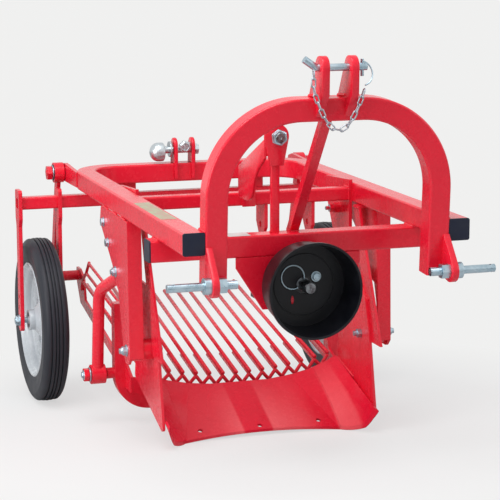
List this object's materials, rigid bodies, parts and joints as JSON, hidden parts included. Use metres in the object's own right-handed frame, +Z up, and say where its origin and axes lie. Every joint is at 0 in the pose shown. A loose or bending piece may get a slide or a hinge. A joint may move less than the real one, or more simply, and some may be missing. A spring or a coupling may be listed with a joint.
{
  "type": "potato digger",
  "caption": "One-row potato digger for a tractor's three-point hitch, with a hitch arch, a dished share, a swinging rod sieve and rear support wheels.",
  "frame": {"origin": "centre of the bounding box on the floor the machine stands on", "axes": "+Y to the machine's rear, +X across along the right lower hitch pin, +Z up; the hitch faces -Y"},
  "size_m": [1.176, 1.7578, 1.136],
  "materials": {
    "red_paint": "gloss",
    "black_paint": "satin",
    "zinc_steel": "satin",
    "shaft_steel": "satin",
    "black_plastic": "satin",
    "tyre_rubber": "matte",
    "grey_rim": "satin"
  },
  "bodies": {
    "chassis": {"adjuster_lugs": "red_paint", "arch_brace": "red_paint", "axle_left": "zinc_steel", "axle_right": "zinc_steel", "centre_post": "red_paint", "corner_lugs": "red_paint", "frame_bow": "red_paint", "front_cross_tube": "red_paint", "gearbox": "black_paint", "gearbox_bracket": "red_paint", "hanger_left": "red_paint", "hanger_right": "red_paint", "hitch_arch": "red_paint", "link_bolts": "zinc_steel", "lower_hitch_lugs": "red_paint", "lower_pin_left": "zinc_steel", "lower_pin_right": "zinc_steel", "main_frame": "red_paint", "mid_cross_tube": "red_paint", "mid_plates": "red_paint", "pto_guard": "black_plastic", "rear_adjuster": "zinc_steel", "share_bolts": "zinc_steel", "share_bushes": "red_paint", "share_floor": "red_paint", "share_side_left": "red_paint", "share_side_right": "red_paint", "share_struts": "red_paint", "share_wings": "red_paint", "top_link_lugs": "red_paint", "top_link_pin": "zinc_steel", "top_pin_chain": "zinc_steel", "tube_end_plugs": "black_plastic", "wheel_carrier": "red_paint", "wheel_fork_left": "red_paint", "wheel_fork_right": "red_paint"},
    "wheel_left": {"tyre_left": "tyre_rubber", "rim_left": "grey_rim"},
    "wheel_right": {"tyre_right": "tyre_rubber", "rim_right": "grey_rim"},
    "drive_shaft": {"pto_shaft": "shaft_steel"},
    "front_arm_right": {"front_link_right": "red_paint"},
    "front_arm_left": {"front_link_left": "red_paint"},
    "rear_arm_right": {"rear_link_right": "red_paint"},
    "rear_arm_left": {"rear_link_left": "red_paint"},
    "sieve": {"sieve_grid": "red_paint", "sieve_hoop": "red_paint", "sieve_sides": "red_paint"}
  },
  "joints": [
    {"name": "wheel_left_spin", "type": "hinge", "parent": "chassis", "child": "wheel_left", "pos_m": [-0.501, 0.61092, 0.268], "axis": [1, 0, 0], "continuous": true},
    {"name": "wheel_right_spin", "type": "hinge", "parent": "chassis", "child": "wheel_right", "pos_m": [0.501, 0.61092, 0.268], "axis": [1, 0, 0], "continuous": true},
    {"name": "drive_shaft_spin", "type": "hinge", "parent": "chassis", "child": "drive_shaft", "pos_m": [0, -0.61316, 0.50283], "axis": [0, 0.9982, 0.0593], "continuous": true},
    {"name": "front_arm_right_swing", "type": "hinge", "parent": "chassis", "child": "front_arm_right", "pos_m": [0.384, -0.05513, 0.50192], "axis": [1, 0, 0], "range_deg": [-3, 3]},
    {"name": "front_arm_left_swing", "type": "hinge", "parent": "chassis", "child": "front_arm_left", "pos_m": [-0.384, -0.05513, 0.50192], "axis": [1, 0, 0], "range_deg": [-3.1, 3.1]},
    {"name": "sieve_pivot", "type": "hinge", "parent": "front_arm_right", "child": "sieve", "pos_m": [0.419, 0.16364, 0.15828], "axis": [1, 0, 0], "range_deg": [-3.5, 3.5]},
    {"name": "rear_arm_right_swing", "type": "hinge", "parent": "chassis", "child": "rear_arm_right", "pos_m": [0.42, 0.65474, 0.74444], "axis": [1, 0, 0], "range_deg": [-3.2, 3.2]},
    {"name": "rear_arm_left_swing", "type": "hinge", "parent": "chassis", "child": "rear_arm_left", "pos_m": [-0.42, 0.65474, 0.74444], "axis": [1, 0, 0], "range_deg": [-3.2, 3.2]}
  ],
  "couplings": [
    {"joint": "front_arm_left_swing", "follows": "front_arm_right_swing", "ratio": 1},
    {"joint": "sieve_pivot", "follows": "front_arm_right_swing", "ratio": -1.1335},
    {"joint": "rear_arm_right_swing", "follows": "front_arm_right_swing", "ratio": 1.0293},
    {"joint": "rear_arm_left_swing", "follows": "front_arm_right_swing", "ratio": 1.0293}
  ]
}
